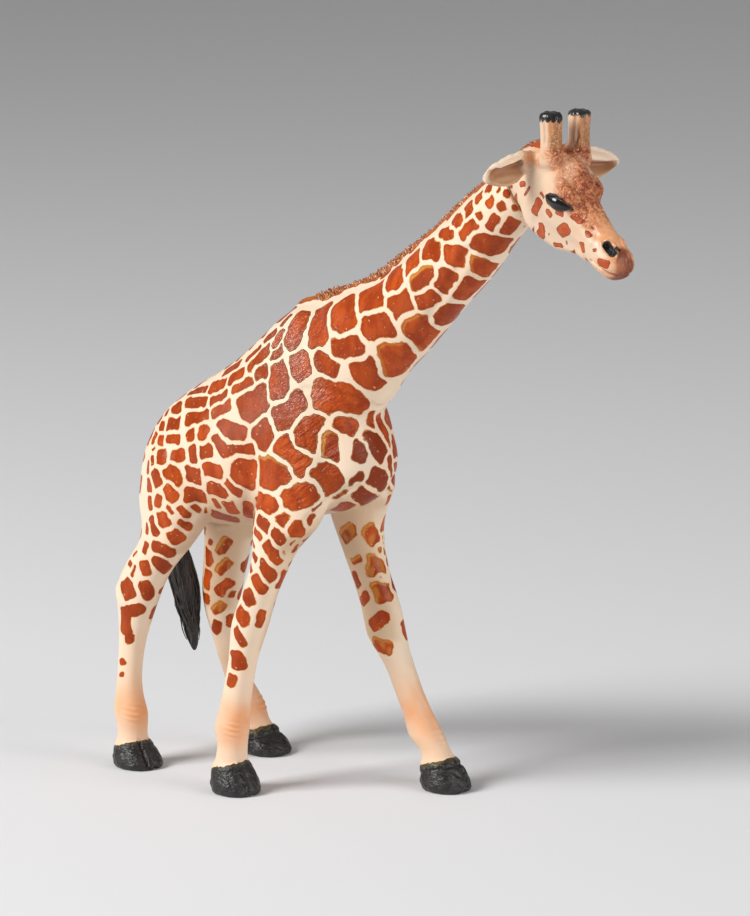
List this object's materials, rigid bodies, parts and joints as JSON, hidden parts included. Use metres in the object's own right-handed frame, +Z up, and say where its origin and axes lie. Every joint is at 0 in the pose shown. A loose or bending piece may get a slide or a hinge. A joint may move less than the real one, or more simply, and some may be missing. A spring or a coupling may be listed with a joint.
{
  "type": "toy giraffe figure",
  "caption": "Walking giraffe play figure in painted solid PVC, glued up from separate mouldings, standing on its hooves.",
  "frame": {"origin": "middle of the figure's box at floor level", "axes": "+X the way the giraffe walks, +Y its left, +Z up"},
  "size_m": [0.1184, 0.0354, 0.1264],
  "materials": {
    "coat": "painted solid PVC, satin: cream with rust-brown patches, black hooves",
    "face": "painted solid PVC, satin: peach-brown face, gloss black eyes, black horn tips",
    "tail_black": "painted solid PVC, satin black"
  },
  "bodies": {
    "root": {"trunk": "coat", "neck": "coat", "head": "face", "ear_left": "coat", "ear_right": "coat", "horn_left": "face", "horn_right": "face", "tail": "tail_black", "foreleg_left": "coat", "foreleg_right": "coat", "hindleg_left": "coat", "hindleg_right": "coat"}
  },
  "joints": []
}
